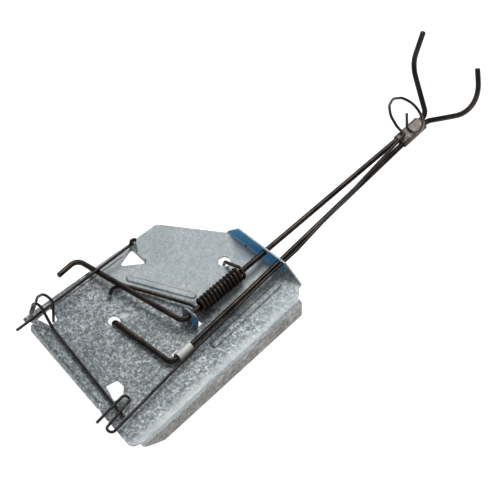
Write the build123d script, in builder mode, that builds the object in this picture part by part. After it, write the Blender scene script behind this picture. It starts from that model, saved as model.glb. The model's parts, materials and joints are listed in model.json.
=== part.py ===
from build123d import *
import math
import os

# A set tunnel trap: a folded sheet plate, two jaw rods, their spring and the release wires.
# Working axes: x runs along the rods to the prongs, y to the left, z up from the plate's top.
# At the end everything moves so that the origin is under the middle of the whole object.

# Driving dimensions, in millimetres and degrees.
SHEET = 0.9
FOOT_DEPTH = 13.0
WALL_HEIGHT = 8.8
LIP_DEPTH = 5.6
FOLD_RADIUS = 2.4
LIP_RADIUS = 1.8
WALL_RADIUS = 1.2
ROD = 3.0
SPRING_WIRE = 1.9
BAR_WIRE = 1.6
THIN_WIRE = 1.6
ROD_HEIGHT = 6.0
SHAFT_GAP = 0.05

# Plate outline, as points on its flat top.
FOLD_Y = -28.6
FOLD_END_X = -8.0
FRONT_CORNER_X = -132.0
FRONT_CORNER = (-137.2, -24.5)
LEFT_CORNER = (-115.5, 73.0)
SHOULDER = (-23.0, 62.0)
WALL_LEFT_Y = 30.8
WALL_RIGHT_Y = -21.5
LIP_START = (-113.8, 67.0)
LIP_END = (-126.9, 6.8)
HEM_WIDTH = 4.4
HEM_LENGTH = 66.0
HEM_RISE = 0.7
FOOT_TIP = 0.8

# The striking rod crosses the end wall here and leans towards the clip.
STRIKER_Y = 4.5
STRIKER_LEAN = -1.98
STRIKER_START_X = -63.0
TAB_X = -57.0
TAB_MIDDLE_Y = 6.2
TAB_WIDTH = 10.8
TAB_HEIGHT = 9.6
TAB_OPENING = 3.2
# The fixed rod beyond the wall, and its arm on the plate.
FIXED_Y = -5.6
FIXED_LEAN = 1.40
FIXED_ARM_X = -85.0
ARM_HEIGHT = 1.6
ARM_END = (-85.1, 35.4)
ARM_HOLE = (-84.0, 36.5)
ARM_HOLE_DIAMETER = 6.7
STRAP_START_X = -80.5
STRAP_END_X = -70.5
STRAP_HEIGHT = 2.95
STRAP_INNER_RADIUS = 1.9
STRAP_SLIT = (5.2, 2.4)

# The fork: both prongs lie in one plane, tilted up from the rods.
FORK_X = 120.9
FORK_Y = -2.2
FORK_TILT = 64.0

# The clip round both rods.
CLIP_START_X = 100.5
CLIP_LENGTH = 17.0
CLIP_WALL = 0.6
CLIP_Y = -1.1
CLIP_SPACING = 4.4

# The spring on the striking rod.
SPRING_START_X = -50.0
SPRING_LENGTH = 31.0
SPRING_RADIUS = 3.45
SPRING_TURNS = 12.6
REAR_LEG_LENGTH = 13.6
SPRING_HOLE = (-16.6, 18.9)
SPRING_HOLE_DIAMETER = 6.6

# The catch bar pivots in the ear, and lies over the lever and under the sear's head.
BAR_PIVOT = (-44.0, 59.65)
BAR_TURN = -5.26
BAR_HEIGHT = 6.8
BAR_LENGTH = 82.8
EYE_RADIUS = 1.6
EYE_SWEEP = 278.0
EAR_WIDTH = 4.4
EAR_HOLE_DIAMETER = 1.84
EAR_HOLE_RISE = 0.05
EAR_HEIGHT = 8.95
TONGUE_WIDTH = 10.8
TONGUE_HEIGHT = 2.2

# The sear's arm and the trigger's folded end above it.
SEAR_HEIGHT = 1.6
FOLDED_END_HEIGHT = 3.5
TRIGGER_WALL_Y = -8.0
TRIGGER_WALL_HEIGHT = 7.2
TRIGGER_HOLE_DIAMETER = 2.2


def leaning_y(start_y, lean, x):
    """The y of a rod that crosses the end wall at start_y and leans by an angle."""
    return start_y + x * math.tan(math.radians(lean))


def fork_point(across, along):
    """A point of the fork's plane, across it to the left and along it from its root."""
    tilt = math.radians(FORK_TILT)
    x = FORK_X + along * math.cos(tilt)
    z = ROD_HEIGHT + along * math.sin(tilt)
    return (x, FORK_Y + across, z)


def edge_point(along, inset):
    """A point beside the plate's left edge, along it from the left corner and in from it."""
    run = (SHOULDER[0] - LEFT_CORNER[0], SHOULDER[1] - LEFT_CORNER[1])
    length = math.hypot(*run)
    x = LEFT_CORNER[0] + (along * run[0] + inset * run[1]) / length
    y = LEFT_CORNER[1] + (along * run[1] - inset * run[0]) / length
    return (x, y)


def bent_wire(route, radii, diameter):
    """A round wire along straight runs joined by bends, with slightly rounded ends."""
    with BuildPart() as wire:
        with BuildLine() as path:
            FilletPolyline(*route, radius=radii)
        line = path.wire()
        with BuildSketch(Plane(line @ 0, z_dir=line % 0)):
            Circle(diameter / 2)
        sweep(path=line)
        ends = [line @ 0, line @ 1]
        for end in ends:
            cut = wire.faces().filter_by(GeomType.PLANE).sort_by_distance(end)[0]
            fillet(cut.edges(), diameter * 0.18)
    return wire


STRIKER_AXIS = Plane(
    origin=(0, STRIKER_Y, ROD_HEIGHT),
    x_dir=(0, 0, 1),
    z_dir=(math.cos(math.radians(STRIKER_LEAN)), math.sin(math.radians(STRIKER_LEAN)), 0),
)

# Across the catch bar at its pivot, looking away from its free end.
BAR_CROSS = Plane(
    origin=(*BAR_PIVOT, 0),
    x_dir=(-math.sin(math.radians(BAR_TURN)), math.cos(math.radians(BAR_TURN)), 0),
    z_dir=(math.cos(math.radians(BAR_TURN)), math.sin(math.radians(BAR_TURN)), 0),
)

# Openings whose tongues are folded down as feet: outline, then the two ends of the fold.
FOOT_OPENINGS = [
    ([(-43.9, 60.9), (-56.3, 58.2), (-45.1, 48.5)], (-55.6, 57.6), (-46.0, 49.4)),
    (
        [(-99.8, 67.0), (-110.6, 67.6), (-109.0, 59.4), (-103.5, 59.0)],
        (-110.3, 66.4),
        (-109.2, 60.4),
    ),
    (
        [(-117.7, 11.8), (-110.6, 9.9), (-110.9, 5.0), (-115.6, 1.0), (-122.1, 1.4)],
        (-118.2, 10.6),
        (-121.4, 2.8),
    ),
]

# Pressed stiffening beads: their two end points.
BEADS = [((-59.5, 50.5), (-43.5, 14.5)), ((-62.0, -13.2), (-7.5, -12.2))]
BEAD_WIDTH = 4.6
BEAD_HEIGHT = 0.75
BEAD_SLOPE = 50.0

with BuildPart() as base_plate:
    # Flat sheet.
    with BuildSketch(Plane.XY.offset(-SHEET)):
        with BuildLine():
            Polyline(
                LEFT_CORNER,
                SHOULDER,
                (-SHEET - WALL_RADIUS, WALL_LEFT_Y),
                (-SHEET - WALL_RADIUS, WALL_RIGHT_Y),
                (FOLD_END_X, FOLD_Y + FOLD_RADIUS),
                (FRONT_CORNER_X, FOLD_Y + FOLD_RADIUS),
                FRONT_CORNER,
                (-132.0, 1.2),
                (-130.4, 4.6),
                LIP_END,
                LIP_START,
                (-113.6, 69.3),
                (-116.0, 70.0),
                close=True,
            )
        make_face()
    extrude(amount=SHEET)
    outer_corners = base_plate.edges().filter_by(Axis.Z)
    front_corner = outer_corners.sort_by_distance((*FRONT_CORNER, 0))[0]
    shoulder_corner = outer_corners.sort_by_distance((*SHOULDER, 0))[0]
    fillet([front_corner, shoulder_corner], 3.5)

    # Right flange, folded down. Its front end is cut back at a slant.
    with BuildSketch(Plane.YZ.offset(FOLD_END_X)):
        with BuildLine():
            centre = (FOLD_Y + FOLD_RADIUS, -FOLD_RADIUS)
            CenterArc(centre, FOLD_RADIUS, 90, 90)
            Line((FOLD_Y, -FOLD_RADIUS), (FOLD_Y, -FOOT_DEPTH))
            Line((FOLD_Y, -FOOT_DEPTH), (FOLD_Y + SHEET, -FOOT_DEPTH))
            Line((FOLD_Y + SHEET, -FOOT_DEPTH), (FOLD_Y + SHEET, -FOLD_RADIUS))
            CenterArc(centre, FOLD_RADIUS - SHEET, 90, 90)
            Line((centre[0], -SHEET), (centre[0], 0))
        make_face()
    extrude(amount=FRONT_CORNER_X - FOLD_END_X)
    with BuildSketch(Plane.XZ.offset(-FOLD_Y + 1)):
        with BuildLine():
            Polyline(
                (FRONT_CORNER_X - 1, -1.0),
                (FRONT_CORNER_X + 4.5, -5.5),
                (FRONT_CORNER_X + 14.0, -FOOT_DEPTH + 1.5),
                (FRONT_CORNER_X + 18.0, -FOOT_DEPTH - 1),
                (FRONT_CORNER_X - 1, -FOOT_DEPTH - 1),
                close=True,
            )
        make_face()
    extrude(amount=-1 - FOLD_RADIUS, mode=Mode.SUBTRACT)

    # Short front flange, folded down under the slanting front edge.
    lip_run = (LIP_START[0] - LIP_END[0], LIP_START[1] - LIP_END[1], 0)
    with BuildSketch(Plane((*LIP_END, 0), x_dir=(-lip_run[1], lip_run[0], 0), z_dir=lip_run)):
        with BuildLine():
            CenterArc((0, -LIP_RADIUS), LIP_RADIUS, 0, 90)
            Line((LIP_RADIUS, -LIP_RADIUS), (LIP_RADIUS, -LIP_DEPTH))
            Line((LIP_RADIUS, -LIP_DEPTH), (LIP_RADIUS - SHEET, -LIP_DEPTH))
            Line((LIP_RADIUS - SHEET, -LIP_DEPTH), (LIP_RADIUS - SHEET, -LIP_RADIUS))
            CenterArc((0, -LIP_RADIUS), LIP_RADIUS - SHEET, 0, 90)
            Line((0, -SHEET), (0, 0))
        make_face()
    extrude(amount=math.hypot(lip_run[0], lip_run[1]))

    # End wall, folded up. Its ends slope and its top corners are round.
    with BuildSketch(Plane.XZ.offset(-WALL_RIGHT_Y)):
        with BuildLine():
            centre = (-SHEET - WALL_RADIUS, WALL_RADIUS)
            CenterArc(centre, WALL_RADIUS + SHEET, -90, 90)
            Line((0, WALL_RADIUS), (0, WALL_HEIGHT))
            Line((0, WALL_HEIGHT), (-SHEET, WALL_HEIGHT))
            Line((-SHEET, WALL_HEIGHT), (-SHEET, WALL_RADIUS))
            CenterArc(centre, WALL_RADIUS, -90, 90)
            Line((centre[0], 0), (centre[0], -SHEET))
        make_face()
    extrude(amount=WALL_RIGHT_Y - WALL_LEFT_Y)
    with BuildSketch(Plane.YZ.offset(-SHEET - WALL_RADIUS)):
        Rectangle(80, WALL_HEIGHT + 2, align=(Align.CENTER, Align.MIN))
        with BuildSketch(mode=Mode.SUBTRACT) as wall_outline:
            with BuildLine():
                Polyline(
                    (WALL_LEFT_Y, 0),
                    (23.6, WALL_HEIGHT),
                    (-10.2, WALL_HEIGHT),
                    (-15.0, 5.0),
                    (WALL_RIGHT_Y, 0),
                    close=True,
                )
            make_face()
            fillet(wall_outline.vertices().group_by(Axis.Y)[-1], 2.0)
    extrude(amount=SHEET + WALL_RADIUS, mode=Mode.SUBTRACT)

    # Hem: the left edge folded back flat on the sheet, as far as the ear.
    with BuildSketch():
        with BuildLine():
            Polyline(
                edge_point(0.8, 0),
                edge_point(HEM_LENGTH, 0),
                edge_point(HEM_LENGTH, HEM_WIDTH),
                edge_point(1.6, HEM_WIDTH),
                close=True,
            )
        make_face()
    extrude(amount=HEM_RISE)
    hem_tops = base_plate.faces().filter_by(Plane.XY).filter_by_position(Axis.Z, HEM_RISE, HEM_RISE)
    fillet(hem_tops.edges(), HEM_RISE * 0.6)

    # Tongue folded up beside the first opening: low along the fold, and an ear at its end
    # that holds the catch bar's eye.
    with BuildSketch(BAR_CROSS.offset(-SHEET / 2)) as tongue:
        with BuildLine():
            Polyline(
                (-TONGUE_WIDTH, -SHEET),
                (-TONGUE_WIDTH + 1.4, TONGUE_HEIGHT),
                (-EAR_WIDTH / 2 - 1.2, TONGUE_HEIGHT),
                (-EAR_WIDTH / 2, EAR_HEIGHT),
                (EAR_WIDTH / 2, EAR_HEIGHT),
                (EAR_WIDTH / 2, -SHEET),
                close=True,
            )
        make_face()
        fillet(tongue.vertices().group_by(Axis.Z)[-1], 0.9)
        with Locations((0, BAR_HEIGHT + EAR_HOLE_RISE)):
            Circle(EAR_HOLE_DIAMETER / 2, mode=Mode.SUBTRACT)
    extrude(amount=SHEET)

    # Tab that the striking rod turns in.
    with BuildSketch(Plane.YZ.offset(TAB_X)) as tab:
        with Locations((TAB_MIDDLE_Y, 0)):
            Rectangle(TAB_WIDTH, TAB_HEIGHT, align=(Align.CENTER, Align.MIN))
        fillet(tab.vertices().group_by(Axis.Y)[-1], TAB_WIDTH * 0.3)
    extrude(amount=-SHEET)
    with BuildSketch():
        with Locations((TAB_X, TAB_MIDDLE_Y)):
            Rectangle(TAB_OPENING, TAB_WIDTH, align=(Align.MIN, Align.CENTER))
    extrude(amount=-SHEET, mode=Mode.SUBTRACT)

    # Strap bent over the fixed rod, and the slit beside it.
    with BuildSketch(Plane.YZ.offset(STRAP_START_X)):
        with Locations((FIXED_Y, STRAP_HEIGHT)):
            Circle(STRAP_INNER_RADIUS + SHEET)
        with Locations((FIXED_Y, -SHEET / 2)):
            arch_width = 2 * (STRAP_INNER_RADIUS + SHEET)
            Rectangle(arch_width, STRAP_HEIGHT + SHEET / 2, align=(Align.CENTER, Align.MIN))
        with Locations((FIXED_Y, STRAP_HEIGHT)):
            Circle(STRAP_INNER_RADIUS, mode=Mode.SUBTRACT)
        with Locations((FIXED_Y, 0)):
            Rectangle(
                2 * STRAP_INNER_RADIUS,
                STRAP_HEIGHT,
                align=(Align.CENTER, Align.MIN),
                mode=Mode.SUBTRACT,
            )
    extrude(amount=STRAP_END_X - STRAP_START_X)
    with BuildSketch():
        with Locations((STRAP_START_X + 0.6, FIXED_Y + STRAP_INNER_RADIUS + SHEET + 0.2)):
            Rectangle(*STRAP_SLIT, align=(Align.MIN, Align.MIN))
    extrude(amount=-SHEET, mode=Mode.SUBTRACT)

    # Pressed beads: raised on top and sunk below.
    for bead_start, bead_end in BEADS:
        run = (bead_end[0] - bead_start[0], bead_end[1] - bead_start[1])
        middle = ((bead_start[0] + bead_end[0]) / 2, (bead_start[1] + bead_end[1]) / 2)
        length = math.hypot(*run)
        turn = math.degrees(math.atan2(run[1], run[0]))
        with BuildSketch():
            with Locations(middle):
                SlotOverall(length, BEAD_WIDTH, rotation=turn)
        extrude(amount=BEAD_HEIGHT, taper=BEAD_SLOPE)
        bead_top = base_plate.faces().filter_by(Plane.XY).sort_by_distance((*middle, BEAD_HEIGHT))[0]
        fillet(bead_top.edges(), BEAD_HEIGHT)
        with BuildSketch(Plane.XY.offset(-SHEET)):
            with Locations(middle):
                SlotOverall(length - 2, BEAD_WIDTH - 2, rotation=turn)
        extrude(amount=BEAD_HEIGHT * 0.7, mode=Mode.SUBTRACT)

    # Three-sided openings, each with its tongue folded down as a foot.
    for outline, fold_start, fold_end in FOOT_OPENINGS:
        with BuildSketch(Plane.XY.offset(-SHEET)) as opening:
            with BuildLine():
                Polyline(*outline, close=True)
            make_face()
            fillet(opening.vertices(), 1.2)
        extrude(amount=SHEET + HEM_RISE, mode=Mode.SUBTRACT)
        fold = (fold_end[0] - fold_start[0], fold_end[1] - fold_start[1], 0)
        length = math.hypot(fold[0], fold[1])
        with BuildSketch(Plane((*fold_start, 0), x_dir=fold, z_dir=(fold[1], -fold[0], 0))):
            with BuildLine():
                Polyline(
                    (0, -SHEET / 2),
                    (length, -SHEET / 2),
                    (length / 2 + FOOT_TIP, -FOOT_DEPTH),
                    (length / 2 - FOOT_TIP, -FOOT_DEPTH),
                    close=True,
                )
            make_face()
        extrude(amount=SHEET)

    # Round holes: for the fixed arm, the spring's leg, both rods and the trigger wire.
    with BuildSketch(Plane.XY.offset(-SHEET)):
        with Locations(ARM_HOLE):
            Circle(ARM_HOLE_DIAMETER / 2)
        with Locations(SPRING_HOLE):
            Circle(SPRING_HOLE_DIAMETER / 2)
    extrude(amount=SHEET, mode=Mode.SUBTRACT)
    with BuildSketch(STRIKER_AXIS.offset(-60.5)):
        Circle(ROD / 2 + SHAFT_GAP)
    extrude(amount=62.5, mode=Mode.SUBTRACT)
    with BuildSketch(Plane.YZ.offset(-SHEET)):
        with Locations((FIXED_Y, ROD_HEIGHT)):
            Circle(ROD / 2 + SHAFT_GAP)
        with Locations((TRIGGER_WALL_Y, TRIGGER_WALL_HEIGHT)):
            Circle(TRIGGER_HOLE_DIAMETER / 2)
    extrude(amount=SHEET, mode=Mode.SUBTRACT)

# Striking jaw: hooked lever end, lever, long rod, prong.
striking_jaw = bent_wire(
    [
        (-84.6, 76.0, 4.2),
        (-70.3, 75.8, 4.0),
        (STRIKER_START_X, leaning_y(STRIKER_Y, STRIKER_LEAN, STRIKER_START_X), ROD_HEIGHT),
        (123.2, leaning_y(STRIKER_Y, STRIKER_LEAN, 123.2), ROD_HEIGHT),
        fork_point(20.0, 24.0),
        fork_point(20.7, 45.2),
    ],
    [5.0, 3.6, 4.6, 22.0],
    ROD,
)

# Fixed jaw: end turned down into its hole, arm, long rod, prong.
fixed_jaw = bent_wire(
    [
        (*ARM_END, -3.6),
        (*ARM_END, ARM_HEIGHT),
        (FIXED_ARM_X, FIXED_Y, 2.6),
        (0, FIXED_Y, ROD_HEIGHT),
        (120.5, leaning_y(FIXED_Y, FIXED_LEAN, 120.5), ROD_HEIGHT),
        fork_point(-19.0, 17.0),
        fork_point(-24.6, 31.5),
        fork_point(-17.2, 46.8),
    ],
    [2.4, 3.6, 20.0, 3.2, 24.0, 22.0],
    ROD,
)

# Torsion spring: a left-hand coil round the striking rod. The front leg leaves its underside
# and hooks under the lever; the rear leg leaves its top and dips into the plate.
coil_start = STRIKER_AXIS.offset(SPRING_START_X / math.cos(math.radians(STRIKER_LEAN)))
coil_plane = Plane(coil_start.origin, x_dir=(0, 0, -1), z_dir=coil_start.z_dir)
coil_pitch = SPRING_LENGTH / SPRING_TURNS
turns = coil_plane * Helix(coil_pitch, SPRING_LENGTH, SPRING_RADIUS, lefthand=True, mode=Mode.PRIVATE)
with BuildPart() as torsion_spring:
    with BuildSketch(Plane(turns @ 0, z_dir=turns % 0)):
        Circle(SPRING_WIRE / 2)
    sweep(path=turns, is_frenet=True)
    with BuildLine() as front_leg:
        FilletPolyline(
            turns @ 0,
            (turns @ 0) - (turns % 0) * 6,
            (-59.5, 35.0, 2.2),
            (-64.5, 46.5, 1.9),
            (-70.2, 50.6, 2.0),
            (-74.8, 47.6, 4.6),
            radius=[6, 12, 6, 3],
        )
    with BuildSketch(Plane(turns @ 0, z_dir=front_leg.wire() % 0)):
        Circle(SPRING_WIRE / 2)
    sweep(path=front_leg.wire())
    with BuildLine() as rear_leg:
        FilletPolyline(
            turns @ 1,
            (turns @ 1) + (turns % 1) * REAR_LEG_LENGTH,
            (SPRING_HOLE[0] - 0.4, SPRING_HOLE[1] + 0.2, -3.0),
            radius=1.8,
        )
    with BuildSketch(Plane(turns @ 1, z_dir=rear_leg.wire() % 0)):
        Circle(SPRING_WIRE / 2)
    sweep(path=rear_leg.wire())

# Catch bar: straight, with an open eye that hangs in the ear.
eye_plane = Plane(
    origin=(*BAR_PIVOT, BAR_HEIGHT + EYE_RADIUS),
    x_dir=BAR_CROSS.z_dir,
    z_dir=-BAR_CROSS.x_dir,
)
with BuildPart() as catch_bar:
    with BuildLine(eye_plane) as bar_path:
        Line((-BAR_LENGTH, -EYE_RADIUS), (0, -EYE_RADIUS))
        CenterArc((0, 0), EYE_RADIUS, -90, EYE_SWEEP)
    bar_line = bar_path.wire()
    with BuildSketch(Plane(bar_line @ 0, z_dir=bar_line % 0)):
        Circle(BAR_WIRE / 2)
    sweep(path=bar_line)
    fillet(catch_bar.faces().filter_by(GeomType.PLANE).edges(), BAR_WIRE * 0.18)

# Sear lever: pivot leg up through the plate, tall arch over the bar, turn under the plate's
# edge, low arch back over the bar, and the straight arm.
sear_lever = bent_wire(
    [
        (-104.3, 61.4, -3.2),
        (-104.3, 61.4, 14.6),
        (-104.5, 64.6, 17.4),
        (-104.6, 68.6, 15.6),
        (-104.9, 72.2, 10.0),
        (-105.2, 74.7, -3.4),
        (-108.7, 74.3, -3.4),
        (-108.6, 71.9, 7.6),
        (-108.6, 69.4, 10.6),
        (-108.7, 66.0, 11.0),
        (-109.9, 57.0, SEAR_HEIGHT),
        (-126.6, -9.6, SEAR_HEIGHT),
    ],
    [3.0, 4.0, 5.0, 8.0, 1.7, 1.7, 3.0, 3.0, 3.4, 3.0],
    THIN_WIRE,
)

# Trigger wire: folded end over the sear's arm, run beside the fixed rod and through the wall,
# then along the top of both rods to the ring that stands up across the tunnel.
trigger_wire = bent_wire(
    [
        (-139.9, -2.3, FOLDED_END_HEIGHT),
        (-116.6, -0.9, FOLDED_END_HEIGHT),
        (-116.8, -5.4, FOLDED_END_HEIGHT),
        (-139.4, -8.3, FOLDED_END_HEIGHT),
        (-139.6, -12.9, FOLDED_END_HEIGHT),
        (-86.0, -9.9, FOLDED_END_HEIGHT + 0.3),
        (-14.0, TRIGGER_WALL_Y, TRIGGER_WALL_HEIGHT),
        (11.0, TRIGGER_WALL_Y, TRIGGER_WALL_HEIGHT),
        (42.0, -6.2, 9.2),
        (104.4, -1.4, 9.5),
        (104.9, 4.6, 9.6),
        (105.0, 9.6, 15.6),
        (105.1, 10.8, 23.6),
        (105.2, 8.2, 32.2),
        (105.3, 1.8, 38.8),
        (105.4, -5.6, 40.6),
        (105.5, -10.8, 36.8),
        (105.6, -12.9, 29.0),
        (105.7, -11.0, 20.2),
        (105.8, -6.4, 13.9),
        (105.8, -1.5, 12.6),
        (105.8, -1.1, 26.6),
    ],
    [2.1, 2.1, 2.2, 2.2, 30, 25, 25, 25, 2.4, 6, 8, 10, 10, 8, 7, 8, 9, 9, 6, 2.0],
    THIN_WIRE,
)

# Clip: a flattened sheet sleeve round both rods.
with BuildPart() as jaw_clip:
    with BuildSketch(Plane.YZ.offset(CLIP_START_X)):
        with Locations((CLIP_Y, ROD_HEIGHT)):
            SlotCenterToCenter(CLIP_SPACING, ROD + 2 * SHAFT_GAP + 2 * CLIP_WALL)
            SlotCenterToCenter(CLIP_SPACING, ROD + 2 * SHAFT_GAP, mode=Mode.SUBTRACT)
    extrude(amount=CLIP_LENGTH)
    fillet(jaw_clip.edges().group_by(Axis.X)[0], CLIP_WALL * 0.3)
    fillet(jaw_clip.edges().group_by(Axis.X)[-1], CLIP_WALL * 0.3)

# The origin goes under the middle of the whole object, at the height of its feet.
pieces = [
    base_plate,
    striking_jaw,
    fixed_jaw,
    torsion_spring,
    catch_bar,
    sear_lever,
    trigger_wire,
    jaw_clip,
]
boxes = [piece.part.bounding_box() for piece in pieces]
middle_x = (min(b.min.X for b in boxes) + max(b.max.X for b in boxes)) / 2
middle_y = (min(b.min.Y for b in boxes) + max(b.max.Y for b in boxes)) / 2
for piece in pieces:
    piece.part.move(Location((-middle_x, -middle_y, FOOT_DEPTH)))

base_plate.part.label = "base_plate"
striking_jaw.part.label = "striking_jaw"
fixed_jaw.part.label = "fixed_jaw"
torsion_spring.part.label = "torsion_spring"
catch_bar.part.label = "catch_bar"
sear_lever.part.label = "sear_lever"
trigger_wire.part.label = "trigger_wire"
jaw_clip.part.label = "jaw_clip"

os.makedirs("parts", exist_ok=True)
export_step(base_plate.part, "parts/base_plate.step")
export_step(striking_jaw.part, "parts/striking_jaw.step")
export_step(fixed_jaw.part, "parts/fixed_jaw.step")
export_step(torsion_spring.part, "parts/torsion_spring.step")
export_step(catch_bar.part, "parts/catch_bar.step")
export_step(sear_lever.part, "parts/sear_lever.step")
export_step(trigger_wire.part, "parts/trigger_wire.step")
export_step(jaw_clip.part, "parts/jaw_clip.step")
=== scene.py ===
import json
import math

import bpy
from mathutils import Matrix, Vector

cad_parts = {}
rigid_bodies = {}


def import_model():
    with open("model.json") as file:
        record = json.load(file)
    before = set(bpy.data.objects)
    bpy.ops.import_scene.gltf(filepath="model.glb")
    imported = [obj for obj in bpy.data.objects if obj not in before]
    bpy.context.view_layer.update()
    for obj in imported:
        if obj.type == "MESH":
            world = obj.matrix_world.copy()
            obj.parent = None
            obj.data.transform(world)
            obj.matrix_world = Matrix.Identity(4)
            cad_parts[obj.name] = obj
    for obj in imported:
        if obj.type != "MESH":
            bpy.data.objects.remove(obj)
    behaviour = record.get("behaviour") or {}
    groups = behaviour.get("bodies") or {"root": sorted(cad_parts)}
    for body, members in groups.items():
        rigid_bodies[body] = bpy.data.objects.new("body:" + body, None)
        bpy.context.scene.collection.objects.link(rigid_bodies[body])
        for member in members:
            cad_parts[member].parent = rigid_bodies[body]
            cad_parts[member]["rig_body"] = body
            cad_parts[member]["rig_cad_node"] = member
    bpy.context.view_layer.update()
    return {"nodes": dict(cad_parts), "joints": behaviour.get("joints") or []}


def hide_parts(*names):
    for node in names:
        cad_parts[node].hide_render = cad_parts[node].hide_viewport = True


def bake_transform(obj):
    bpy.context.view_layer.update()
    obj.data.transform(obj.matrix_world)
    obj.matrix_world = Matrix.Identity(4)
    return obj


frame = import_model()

# A set tunnel trap: a galvanised plate, two jaw rods, their spring and thin release wires.
# Places are written in the plate's own axes, in millimetres: its top face is z = 0, its end
# wall is x = 0, and y runs to the left of the rods.

nodes = frame["nodes"]
scene = bpy.context.scene
MM = 0.001
X, Y, Z = range(3)

# ---------------------------------------------------------------- places read from the frame
STRIKER_Y = 4.5
FIXED_Y = -5.6
ROD_HEIGHT = 6.0

# The jaw turns about the striking rod, from the point where the rod crosses the end wall.
jaw_snap = next(joint for joint in frame["joints"] if joint["name"] == "jaw_snap")
jaw_point = Vector(jaw_snap["pos_m"])
plate_origin = jaw_point - Vector((0, STRIKER_Y, ROD_HEIGHT)) * MM


def on_plate(x_mm, y_mm, z_mm=0.0):
    """A place in the scene from one in the plate's own axes."""
    return plate_origin + Vector((x_mm, y_mm, z_mm)) * MM


# ---------------------------------------------------------------- camera
AZIMUTH = math.radians(47.9)
ELEVATION = math.radians(55.0)
VIEW_WIDTH = 0.265
VIEW_CENTRE = (-3.95, 12.15, 3.65)
LENS = 800.0
SENSOR = 36.0
CLIP_END = 50.0

aim = on_plate(*VIEW_CENTRE)


def add_camera():
    """A long lens from the right and above, so that the view is nearly parallel."""
    right = Vector((math.cos(AZIMUTH), -math.sin(AZIMUTH), 0))
    forward = Vector((
        math.sin(AZIMUTH) * math.cos(ELEVATION),
        math.cos(AZIMUTH) * math.cos(ELEVATION),
        -math.sin(ELEVATION),
    ))
    up = right.cross(forward)
    camera = bpy.data.objects.new("camera", bpy.data.cameras.new("camera"))
    scene.collection.objects.link(camera)
    camera.data.lens = LENS
    camera.data.sensor_width = SENSOR
    camera.data.clip_end = CLIP_END
    turn = Matrix((right, up, -forward)).transposed()
    distance = VIEW_WIDTH * LENS / SENSOR
    camera.matrix_world = Matrix.Translation(aim - forward * distance) @ turn.to_4x4()
    scene.camera = camera


add_camera()


# ---------------------------------------------------------------- light
WORLD_STRENGTH = 0.42


def area_light(name, towards, distance_m, size, power):
    """A soft rectangular light, placed in a direction from the trap and facing it."""
    data = bpy.data.lights.new(name, "AREA")
    data.shape = "RECTANGLE"
    data.size, data.size_y = size
    data.energy = power
    light = bpy.data.objects.new(name, data)
    scene.collection.objects.link(light)
    direction = Vector(towards).normalized()
    light.location = aim + direction * distance_m
    light.rotation_mode = "QUATERNION"
    light.rotation_quaternion = direction.to_track_quat("Z", "Y")


area_light("key", (0.47, 0.22, 0.80), distance_m=1.1, size=(0.55, 0.75), power=7.5)
area_light("fill", (-0.6, -0.55, 0.55), distance_m=1.4, size=(1.0, 1.0), power=1.2)

world = bpy.data.worlds.new("studio")
scene.world = world
world.use_nodes = True
background = world.node_tree.nodes["Background"]
background.inputs["Color"].default_value = (1, 1, 1, 1)
background.inputs["Strength"].default_value = WORLD_STRENGTH


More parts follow.
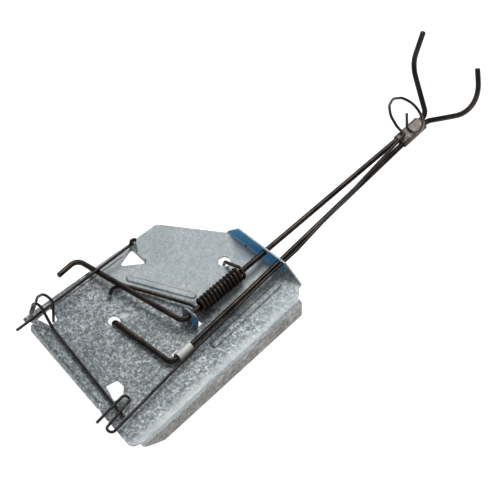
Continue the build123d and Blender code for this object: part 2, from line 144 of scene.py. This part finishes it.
# ---------------------------------------------------------------- shader helpers
class Shader:
    """A small builder for one material's nodes."""

    def __init__(self, name):
        self.material = bpy.data.materials.new(name)
        self.material.use_nodes = True
        self.tree = self.material.node_tree
        self.bsdf = self.tree.nodes["Principled BSDF"]
        self.place = self.tree.nodes.new("ShaderNodeTexCoord").outputs["Object"]

    def node(self, kind, inputs=None, **settings):
        """A new node, with its settings made before its inputs are fed."""
        made = self.tree.nodes.new(kind)
        for key, value in settings.items():
            setattr(made, key, value)
        for key, value in (inputs or {}).items():
            self.feed(made.inputs[key], value)
        return made

    def feed(self, socket, value):
        """Link a socket to another, or give it a constant."""
        if isinstance(value, bpy.types.NodeSocket):
            self.tree.links.new(value, socket)
        else:
            socket.default_value = value

    def math(self, operation, a, b=0.0, c=0.0, clamp=False):
        made = self.node("ShaderNodeMath", operation=operation, use_clamp=clamp)
        for socket, value in zip(made.inputs, (a, b, c)):
            self.feed(socket, value)
        return made.outputs[0]

    def times(self, first, *others):
        """The product of several values."""
        product = first
        for other in others:
            product = self.math("MULTIPLY", product, other)
        return product

    def scaled(self, value, by, plus):
        """value * by + plus."""
        return self.math("MULTIPLY_ADD", value, by, plus)

    def ramp(self, value, low, high, out_low=0.0, out_high=1.0):
        """out_low up to low, out_high from high, and smooth between; low may be above high."""
        made = self.node("ShaderNodeMapRange", {
            "Value": value,
            "From Min": low,
            "From Max": high,
            "To Min": out_low,
            "To Max": out_high,
        }, interpolation_type="SMOOTHSTEP")
        return made.outputs["Result"]

    def stretched(self, scale):
        made = self.node("ShaderNodeMapping", {"Vector": self.place, "Scale": scale})
        return made.outputs["Vector"]

    def noise(self, scale, detail, roughness, vector=None, distortion=0.0):
        made = self.node("ShaderNodeTexNoise", {
            "Vector": vector or self.place,
            "Scale": scale,
            "Detail": detail,
            "Roughness": roughness,
            "Distortion": distortion,
        })
        return made.outputs["Fac"]

    def mix(self, factor, a, b, blend="MIX"):
        """Two colours mixed; the sockets are numbered because their names repeat."""
        made = self.node("ShaderNodeMix", data_type="RGBA", blend_type=blend)
        self.feed(made.inputs[0], factor)
        self.feed(made.inputs[6], a)
        self.feed(made.inputs[7], b)
        return made.outputs[2]

    def mix_values(self, factor, a, b):
        made = self.node("ShaderNodeMix", {0: factor, 2: a, 3: b}, data_type="FLOAT")
        return made.outputs[0]

    def lay(self, base, color, mask, strength):
        """The base with a colour laid over it where the mask is 1."""
        return self.mix(self.math("MULTIPLY", mask, strength), base, color)

    def split(self, vector):
        return tuple(self.node("ShaderNodeSeparateXYZ", {"Vector": vector}).outputs)

    def spot(self, point, radius_mm, soft_mm):
        """1 inside a ball round a point, falling to 0 over a soft rim."""
        gap = self.node("ShaderNodeVectorMath", {0: self.place, 1: point}, operation="DISTANCE")
        outer_mm = radius_mm + soft_mm
        return self.ramp(gap.outputs["Value"], radius_mm * MM, outer_mm * MM, 1.0, 0.0)

    def bump(self, height, distance_mm, strength, normal=None):
        inputs = {"Height": height, "Distance": distance_mm * MM, "Strength": strength}
        if normal is not None:
            inputs["Normal"] = normal
        return self.node("ShaderNodeBump", inputs).outputs["Normal"]

    def finish(self, base, roughness, normal, metallic):
        """Connect the colour, roughness and bump to the surface."""
        self.feed(self.bsdf.inputs["Base Color"], base)
        self.feed(self.bsdf.inputs["Roughness"], roughness)
        self.feed(self.bsdf.inputs["Normal"], normal)
        self.bsdf.inputs["Metallic"].default_value = metallic
        return self.material


# ---------------------------------------------------------------- galvanised sheet
ZINC_DARK = (0.225, 0.255, 0.270, 1)
ZINC_LIGHT = (0.265, 0.285, 0.292, 1)
SPECK = (0.10, 0.10, 0.095, 1)
SCUFF = (0.72, 0.75, 0.76, 1)
STREAK = (0.62, 0.64, 0.64, 1)
# Painted shade below the slanting bead.
BEAD_SHADE = (0.085, 0.090, 0.090, 1)
# Painted highlights along the fold's crest and over the strap.
FOLD_HIGHLIGHT = (0.60, 0.64, 0.65, 1)
STRAP_HIGHLIGHT = (0.66, 0.66, 0.63, 1)
# The flange's dark end: partly dirt, partly painted shade.
FLANGE_SHADE_AND_DIRT = (0.060, 0.053, 0.046, 1)
FLANGE_ZINC = (0.28, 0.262, 0.240, 1)
FLANGE_SCUFF = (0.62, 0.61, 0.58, 1)
# Painted shade on the sheet's cut edges.
CUT_EDGE_SHADE = (0.075, 0.075, 0.07, 1)
# A painted blue reflection on the faces turned towards -x.
REFLECTED_BLUE_DEEP = (0.080, 0.400, 0.760, 1)
REFLECTED_BLUE_PALE = (0.120, 0.500, 0.860, 1)
REFLECTED_BLUE_BRIGHT = (0.060, 0.400, 0.900, 1)
# Painted highlight on the press mark.
PRESS_MARK_HIGHLIGHT = (0.66, 0.68, 0.68, 1)
PIT = (0.03, 0.028, 0.025, 1)

# The slanting bead: a point on it, and the direction across it towards the end wall.
BEAD_POINT = (-59.5, 50.5)
BEAD_ACROSS = Vector((0.9137, 0.4064, 0))
STRAP_MIDDLE = (-75.5, FIXED_Y, 4.5)
PRESS_MARK_POINT = (-78.1, 34.8)
PIT_POINT = (-1.6, 17.2, 0.2)
# The painted blue reflection is brightest on the end wall here.
REFLECTION_BRIGHT_POINT = (0, 9.0, 4.0)
SECOND_REFLECTION_BRIGHT_POINT = (0, -0.5, 4.0)
RAGGED_EDGE = 6.0
WARP = 0.0022
SHEET_METALLIC = 0.45
SHEET_SPECULAR = 0.5


class SheetShader(Shader):
    """The sheet's shader, which also knows places and slopes on the plate."""

    def __init__(self, name):
        super().__init__(name)
        self.xyz = self.split(self.place)
        geometry = self.node("ShaderNodeNewGeometry")
        self.slope = self.split(geometry.outputs["True Normal"])
        x, y, _ = self.xyz
        across_y = self.math("MULTIPLY", y, BEAD_ACROSS.y)
        self.across_bead = self.math("MULTIPLY_ADD", x, BEAD_ACROSS.x, across_y)
        self.grain = self.noise(scale=900.0, detail=5.0, roughness=0.7)
        self.blotch = self.noise(scale=55.0, detail=5.0, roughness=0.6)

    def fade(self, axis, start_mm, end_mm, out_low=0.0, out_high=1.0):
        """A ramp between two of the plate's coordinates."""
        low = plate_origin[axis] + start_mm * MM
        high = plate_origin[axis] + end_mm * MM
        return self.ramp(self.xyz[axis], low, high, out_low, out_high)

    def fade_from_bead(self, start_mm, end_mm):
        """A ramp between two distances across the slanting bead."""
        line = BEAD_ACROSS.dot(on_plate(*BEAD_POINT))
        return self.ramp(self.across_bead, line + start_mm * MM, line + end_mm * MM)


def crystals(s):
    """The shade of each small and each large zinc crystal, with ragged borders."""
    warp = s.node("ShaderNodeTexNoise", {"Vector": s.place, "Scale": 420.0, "Detail": 2.0})
    color = warp.outputs["Color"]
    shift = s.node("ShaderNodeVectorMath", {0: color, "Scale": WARP}, operation="SCALE")
    inputs = {0: s.place, 1: color, 2: shift.outputs[0]}
    ragged = s.node("ShaderNodeVectorMath", inputs, operation="MULTIPLY_ADD").outputs[0]
    small = s.node("ShaderNodeTexVoronoi", {"Vector": ragged, "Scale": 330.0}, feature="F1")
    large = s.node("ShaderNodeTexVoronoi", {"Vector": ragged, "Scale": 120.0}, feature="F1")
    return s.split(small.outputs["Color"])[0], s.split(large.outputs["Color"])[1]


def zinc_shade(s, cell, large_cell, panel):
    """How light the zinc is: lively over the plate, and calmer and lighter on the panel."""
    leaf = s.noise(scale=560.0, detail=4.0, roughness=0.70, distortion=0.5)
    cloud = s.noise(scale=16.0, detail=3.0, roughness=0.5)
    lively = s.times(
        s.scaled(s.ramp(s.grain, 0.36, 0.64), by=0.55, plus=0.68),
        s.scaled(s.ramp(leaf, 0.40, 0.66), by=1.25, plus=0.56),
        s.scaled(cell, by=0.70, plus=0.62),
        s.scaled(large_cell, by=0.22, plus=0.89),
        s.scaled(s.ramp(s.blotch, 0.3, 0.7), by=0.30, plus=0.84),
        s.scaled(s.ramp(cloud, 0.35, 0.65), by=0.12, plus=0.94),
        s.scaled(s.fade(Y, -9.0, -20.0), by=0.38, plus=1.0),
    )
    calm = s.scaled(s.math("SUBTRACT", lively, 0.92), by=0.30, plus=1.20)
    return s.mix_values(panel, lively, calm)


def add_wear(s, base):
    """Small dark specks, bright scuffs and long pale streaks."""
    specks = s.ramp(s.noise(scale=640.0, detail=3.0, roughness=0.65), 0.66, 0.72)
    base = s.lay(base, SPECK, specks, strength=0.38)
    scuffs = s.noise(scale=260.0, detail=5.0, roughness=0.75, distortion=0.6)
    base = s.lay(base, SCUFF, s.ramp(scuffs, 0.66, 0.76), strength=0.5)
    along_x = s.stretched((1.0, 26.0, 26.0))
    streaks = s.noise(scale=60.0, detail=4.0, roughness=0.6, vector=along_x)
    return s.lay(base, STREAK, s.ramp(streaks, 0.64, 0.72), strength=0.22)


def add_bead_shade(s, base, panel):
    """Painted shade: the plate is darkened on the far side of the slanting bead."""
    under_bead_shade = s.times(
        s.fade_from_bead(-10.0, -4.0),
        s.math("SUBTRACT", 1.0, panel),
        s.fade(Y, 10.0, 16.0),
        s.fade(Y, 55.0, 47.0),
    )
    return s.lay(base, BEAD_SHADE, under_bead_shade, strength=0.5)


def add_painted_highlights(s, base):
    """Painted highlights: a bright sheen along the fold's crest, broken up by noise, and over
    the strap.
    """
    along_x = s.stretched((0.35, 1, 1))
    patchy = s.noise(scale=120.0, detail=5.0, roughness=0.7, vector=along_x)
    crest = s.times(
        s.fade(Y, -19.5, -26.5),
        s.ramp(s.slope[Z], 0.25, 0.6),
        s.fade(X, 0.0, -60.0, 0.35, 1.0),
        s.scaled(s.ramp(patchy, 0.30, 0.62), by=0.5, plus=0.5),
    )
    base = s.lay(base, FOLD_HIGHLIGHT, crest, strength=0.85)
    strap = s.spot(tuple(on_plate(*STRAP_MIDDLE)), radius_mm=5.4, soft_mm=0.8)
    strap = s.times(strap, s.fade(Z, 0.3, 1.0))
    return s.lay(base, STRAP_HIGHLIGHT, strap, strength=0.85)


def add_flange_shade_and_dirt(s, base):
    """The right flange is dirtier and warmer, and darkened as painted shade on its outer face,
    which turns away from the key light.
    """
    flange_patches = s.noise(scale=420.0, detail=5.0, roughness=0.75, distortion=1.0)
    flange_base = s.mix(s.ramp(flange_patches, 0.36, 0.60), FLANGE_SHADE_AND_DIRT, FLANGE_ZINC)
    along_x = s.stretched((0.6, 1, 1))
    scuff = s.noise(scale=75.0, detail=5.0, roughness=0.7, vector=along_x)
    flange_base = s.lay(flange_base, FLANGE_SCUFF, s.ramp(scuff, 0.50, 0.62), strength=0.6)
    # Painted shade only where the face turns towards -y, below the plate.
    flange = s.times(s.ramp(s.slope[Y], -0.75, -0.9), s.fade(Z, -1.4, -2.6))
    return s.lay(base, flange_base, flange, strength=0.85)


def add_cut_edge_shade(s, base):
    """Painted shade: the sheet's cut edges, round its outline and its holes, are darkened."""
    in_sheet = s.times(s.fade(Z, -1.1, -0.95), s.fade(Z, -0.02, -0.08))
    sideways = s.ramp(s.math("ABSOLUTE", s.slope[Z]), 0.5, 0.3)
    return s.lay(base, CUT_EDGE_SHADE, s.times(in_sheet, sideways), strength=0.7)


def add_blue_reflection(s, base, shade):
    """Painted reflection: a blue tint on the inner faces of the end wall and the upright tab,
    where they turn towards -x.
    """
    ragged = s.noise(scale=90.0, detail=4.0, roughness=0.6)
    ragged_y = s.math("MULTIPLY_ADD", ragged, RAGGED_EDGE * MM, s.xyz[Y])
    reflection_start = plate_origin.y + (FIXED_Y - 3.0) * MM
    reflection_end = plate_origin.y + (FIXED_Y + 2.0) * MM
    wall = s.times(s.fade(X, -3.0, -2.2), s.ramp(ragged_y, reflection_start, reflection_end))
    tab = s.times(s.fade(X, -59.0, -58.5), s.fade(X, -57.0, -57.5), s.fade(Y, 6.5, 4.0))
    blue = s.times(
        s.math("ADD", wall, tab, clamp=True),
        s.ramp(s.slope[X], -0.12, -0.45),
        s.fade(Z, 0.05, 0.5),
    )
    # The painted reflection is broken up along the wall's top.
    broken_up = s.ramp(s.noise(scale=150.0, detail=5.0, roughness=0.65), 0.42, 0.62)
    blue = s.times(blue, s.scaled(s.times(broken_up, s.fade(Z, 4.5, 8.0)), by=-0.75, plus=1.0))

    bright_spot = s.spot(tuple(on_plate(*REFLECTION_BRIGHT_POINT)), radius_mm=1.0, soft_mm=5.0)
    second_bright_spot = s.spot(tuple(on_plate(*SECOND_REFLECTION_BRIGHT_POINT)), radius_mm=1.0, soft_mm=4.0)
    bright_spot = s.math("ADD", bright_spot, s.times(second_bright_spot, 0.6), clamp=True)
    reflection = s.mix(s.ramp(s.blotch, 0.35, 0.65), REFLECTED_BLUE_DEEP, REFLECTED_BLUE_PALE)
    reflection = s.mix(bright_spot, reflection, REFLECTED_BLUE_BRIGHT)
    reflection = s.mix(0.6, reflection, s.mix(1.0, reflection, shade, "MULTIPLY"))
    return s.lay(base, reflection, blue, strength=0.92)


def add_marks(s, base):
    """A press mark beside the arm's hole, its lit rim painted as a bright patch (painted
    highlight), and a dark pit by the end wall.
    """
    mark = s.spot(tuple(on_plate(*PRESS_MARK_POINT)), radius_mm=1.0, soft_mm=1.6)
    mark = s.times(mark, s.scaled(s.ramp(s.grain, 0.38, 0.58), by=0.7, plus=0.1))
    base = s.mix(mark, base, PRESS_MARK_HIGHLIGHT)
    pit = s.spot(tuple(on_plate(*PIT_POINT)), radius_mm=0.45, soft_mm=0.4)
    return s.lay(base, PIT, pit, strength=0.85)


def galvanised():
    s = SheetShader("galvanised_sheet")
    cell, large_cell = crystals(s)

    # The panel between the slanting bead and the end wall is smoother and lighter.
    panel = s.times(s.fade_from_bead(-4.2, -2.4), s.fade(Y, -4.0, 3.0, 0.45, 1.0))
    shade_value = zinc_shade(s, cell, large_cell, panel)
    shade = s.node("ShaderNodeCombineColor")
    for socket in shade.inputs:
        s.feed(socket, shade_value)
    shade = shade.outputs[0]

    base = s.mix(s.ramp(s.blotch, 0.35, 0.7), ZINC_DARK, ZINC_LIGHT)
    base = s.mix(1.0, base, shade, "MULTIPLY")
    base = add_wear(s, base)
    base = add_bead_shade(s, base, panel)
    base = add_painted_highlights(s, base)
    base = add_flange_shade_and_dirt(s, base)
    base = add_cut_edge_shade(s, base)
    base = add_blue_reflection(s, base, shade)
    base = add_marks(s, base)

    grain_roughness = s.times(s.ramp(s.grain, 0.35, 0.65), 0.10)
    roughness = s.math("ADD", s.scaled(cell, by=0.10, plus=0.40), grain_roughness)

    calmer = s.scaled(panel, by=-0.55, plus=1.0)
    fine = s.bump(s.times(s.grain, calmer), distance_mm=0.30, strength=0.6)
    facets = s.bump(s.times(cell, calmer), distance_mm=0.10, strength=0.6, normal=fine)
    dents = s.bump(s.blotch, distance_mm=1.0, strength=0.4, normal=facets)
    s.bsdf.inputs["Specular IOR Level"].default_value = SHEET_SPECULAR
    return s.finish(base, roughness, dents, SHEET_METALLIC)


# ---------------------------------------------------------------- wires and clip
BARE_STEEL = (0.115, 0.092, 0.072, 1)
RUST = (0.075, 0.045, 0.030, 1)
WIRE_METALLIC = 0.75
CLIP_DARK = (0.035, 0.028, 0.023, 1)
CLIP_LIGHT = (0.15, 0.125, 0.105, 1)
CLIP_SCUFF = (0.42, 0.37, 0.32, 1)
CLIP_METALLIC = 0.5


def wire(name, dark, light, roughness, stretch):
    """Oiled steel wire with drawing marks, worn patches and a little rust."""
    s = Shader(name)
    fine = s.noise(scale=700.0, detail=4.0, roughness=0.65)
    broad = s.noise(scale=120.0, detail=4.0, roughness=0.6)
    drawn = s.noise(scale=160.0, detail=3.0, roughness=0.6, vector=s.stretched(stretch))
    base = s.mix(s.ramp(broad, 0.35, 0.7), dark, light)
    base = s.lay(base, BARE_STEEL, s.ramp(drawn, 0.58, 0.72), strength=0.35)
    rust = s.ramp(s.noise(scale=260.0, detail=5.0, roughness=0.7), 0.64, 0.74)
    base = s.lay(base, RUST, rust, strength=0.4)
    varied = s.scaled(s.ramp(fine, 0.3, 0.7), by=0.14, plus=roughness)
    grained = s.bump(fine, distance_mm=0.05, strength=0.5)
    normal = s.bump(drawn, distance_mm=0.06, strength=0.5, normal=grained)
    return s.finish(base, varied, normal, WIRE_METALLIC)


def clip_metal():
    """Dark sheet with long pale scuffs."""
    s = Shader("clip_sheet")
    fine = s.noise(scale=800.0, detail=4.0, roughness=0.65)
    broad = s.noise(scale=180.0, detail=4.0, roughness=0.6)
    scuffs = s.noise(scale=240.0, detail=3.0, roughness=0.6, vector=s.stretched((14, 1, 1)))
    base = s.mix(s.ramp(broad, 0.3, 0.7), CLIP_DARK, CLIP_LIGHT)
    base = s.lay(base, CLIP_SCUFF, s.ramp(scuffs, 0.52, 0.66), strength=0.6)
    roughness = s.scaled(fine, by=0.25, plus=0.35)
    normal = s.bump(fine, distance_mm=0.05, strength=0.5)
    return s.finish(base, roughness, normal, CLIP_METALLIC)


def paint(obj, material):
    obj.data.materials.clear()
    obj.data.materials.append(material)


jaw_wire = wire(
    "jaw_wire",
    dark=(0.011, 0.009, 0.008, 1),
    light=(0.045, 0.032, 0.024, 1),
    roughness=0.17,
    stretch=(1, 18, 18),
)
spring_wire = wire(
    "spring_wire",
    dark=(0.014, 0.011, 0.009, 1),
    light=(0.060, 0.042, 0.031, 1),
    roughness=0.20,
    stretch=(6, 6, 6),
)
thin_wire = wire(
    "thin_wire",
    dark=(0.011, 0.010, 0.010, 1),
    light=(0.036, 0.032, 0.029, 1),
    roughness=0.20,
    stretch=(3, 9, 9),
)
paint(nodes["base_plate"], galvanised())
paint(nodes["jaw_clip"], clip_metal())
for name in ("striking_jaw", "fixed_jaw"):
    paint(nodes[name], jaw_wire)
for name in ("catch_bar", "sear_lever", "trigger_wire"):
    paint(nodes[name], thin_wire)


coil = nodes["torsion_spring"].copy()
coil.data = nodes["torsion_spring"].data.copy()
coil.name = "torsion_spring_coil"
coil.parent = None
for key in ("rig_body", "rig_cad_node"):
    if key in coil:
        del coil[key]
scene.collection.objects.link(coil)
paint(coil, spring_wire)
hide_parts("torsion_spring")
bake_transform(coil)


# ---------------------------------------------------------------- floor
FLOOR_SIZE = 12.0
FLOOR_HEIGHT = -0.0002
FLOOR_BASE = (0.5, 0.5, 0.5, 1)
FLOOR_ROUGHNESS = 0.9
FLOOR_GLOW = 0.86


def floor_material():
    """Plain matt white, lit a little from within so that it stays pale."""
    s = Shader("floor")
    s.bsdf.inputs["Base Color"].default_value = FLOOR_BASE
    s.bsdf.inputs["Roughness"].default_value = FLOOR_ROUGHNESS
    s.bsdf.inputs["Emission Color"].default_value = (1, 1, 1, 1)
    s.bsdf.inputs["Emission Strength"].default_value = FLOOR_GLOW
    return s.material


bpy.ops.mesh.primitive_plane_add(size=FLOOR_SIZE, location=(0, 0, FLOOR_HEIGHT))
floor = bpy.context.object
floor.name = "floor"
paint(floor, floor_material())

scene.view_settings.view_transform = "Standard"
